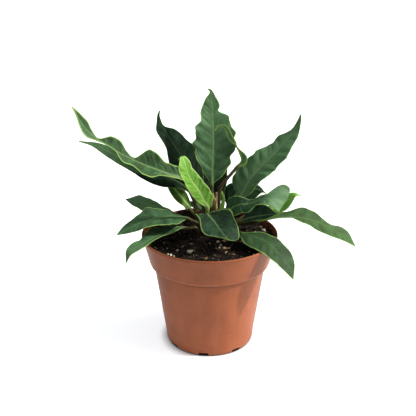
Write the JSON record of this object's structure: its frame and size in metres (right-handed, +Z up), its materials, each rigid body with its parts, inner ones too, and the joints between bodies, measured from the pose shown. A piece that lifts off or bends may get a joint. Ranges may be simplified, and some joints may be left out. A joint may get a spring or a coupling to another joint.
{
  "type": "potted anthurium plowmanii",
  "caption": "Young rosette of long wavy strap leaves on thin stalks, growing from soil in a round tapered nursery pot with a stepped collar.",
  "frame": {"origin": "centre of the pot's flat base, on the surface that it stands on", "axes": "+Z up along the pot's axis; -Y towards the picture's viewer; +X to the viewer's right"},
  "size_m": [0.24, 0.1425, 0.2235],
  "materials": {
    "pot": "satin terracotta-coloured plastic",
    "soil": "damp peat and bark mix",
    "stem": "dry papery stem",
    "leaf": "satin dark green leaf",
    "young_leaf": "satin lime green leaf"
  },
  "bodies": {
    "root": {"pot": "pot", "soil": "soil", "crown": "stem", "leaf_centre": "leaf", "leaf_left_back": "leaf", "leaf_left_long": "leaf", "leaf_left_under": "leaf", "leaf_lime": "young_leaf", "leaf_left_small": "young_leaf", "leaf_left_low": "leaf", "leaf_left_big": "leaf", "leaf_left_front": "leaf", "leaf_front": "leaf", "leaf_right_front": "leaf", "leaf_right_far": "leaf", "leaf_right_wavy": "leaf", "leaf_right_back": "leaf", "leaf_right_small": "leaf", "leaf_right_dark": "leaf", "leaf_right_under": "leaf", "leaf_curled": "leaf", "leaf_back": "leaf", "leaf_back_left": "leaf", "leaf_back_right": "leaf", "leaf_shoot": "young_leaf"}
  },
  "joints": []
}
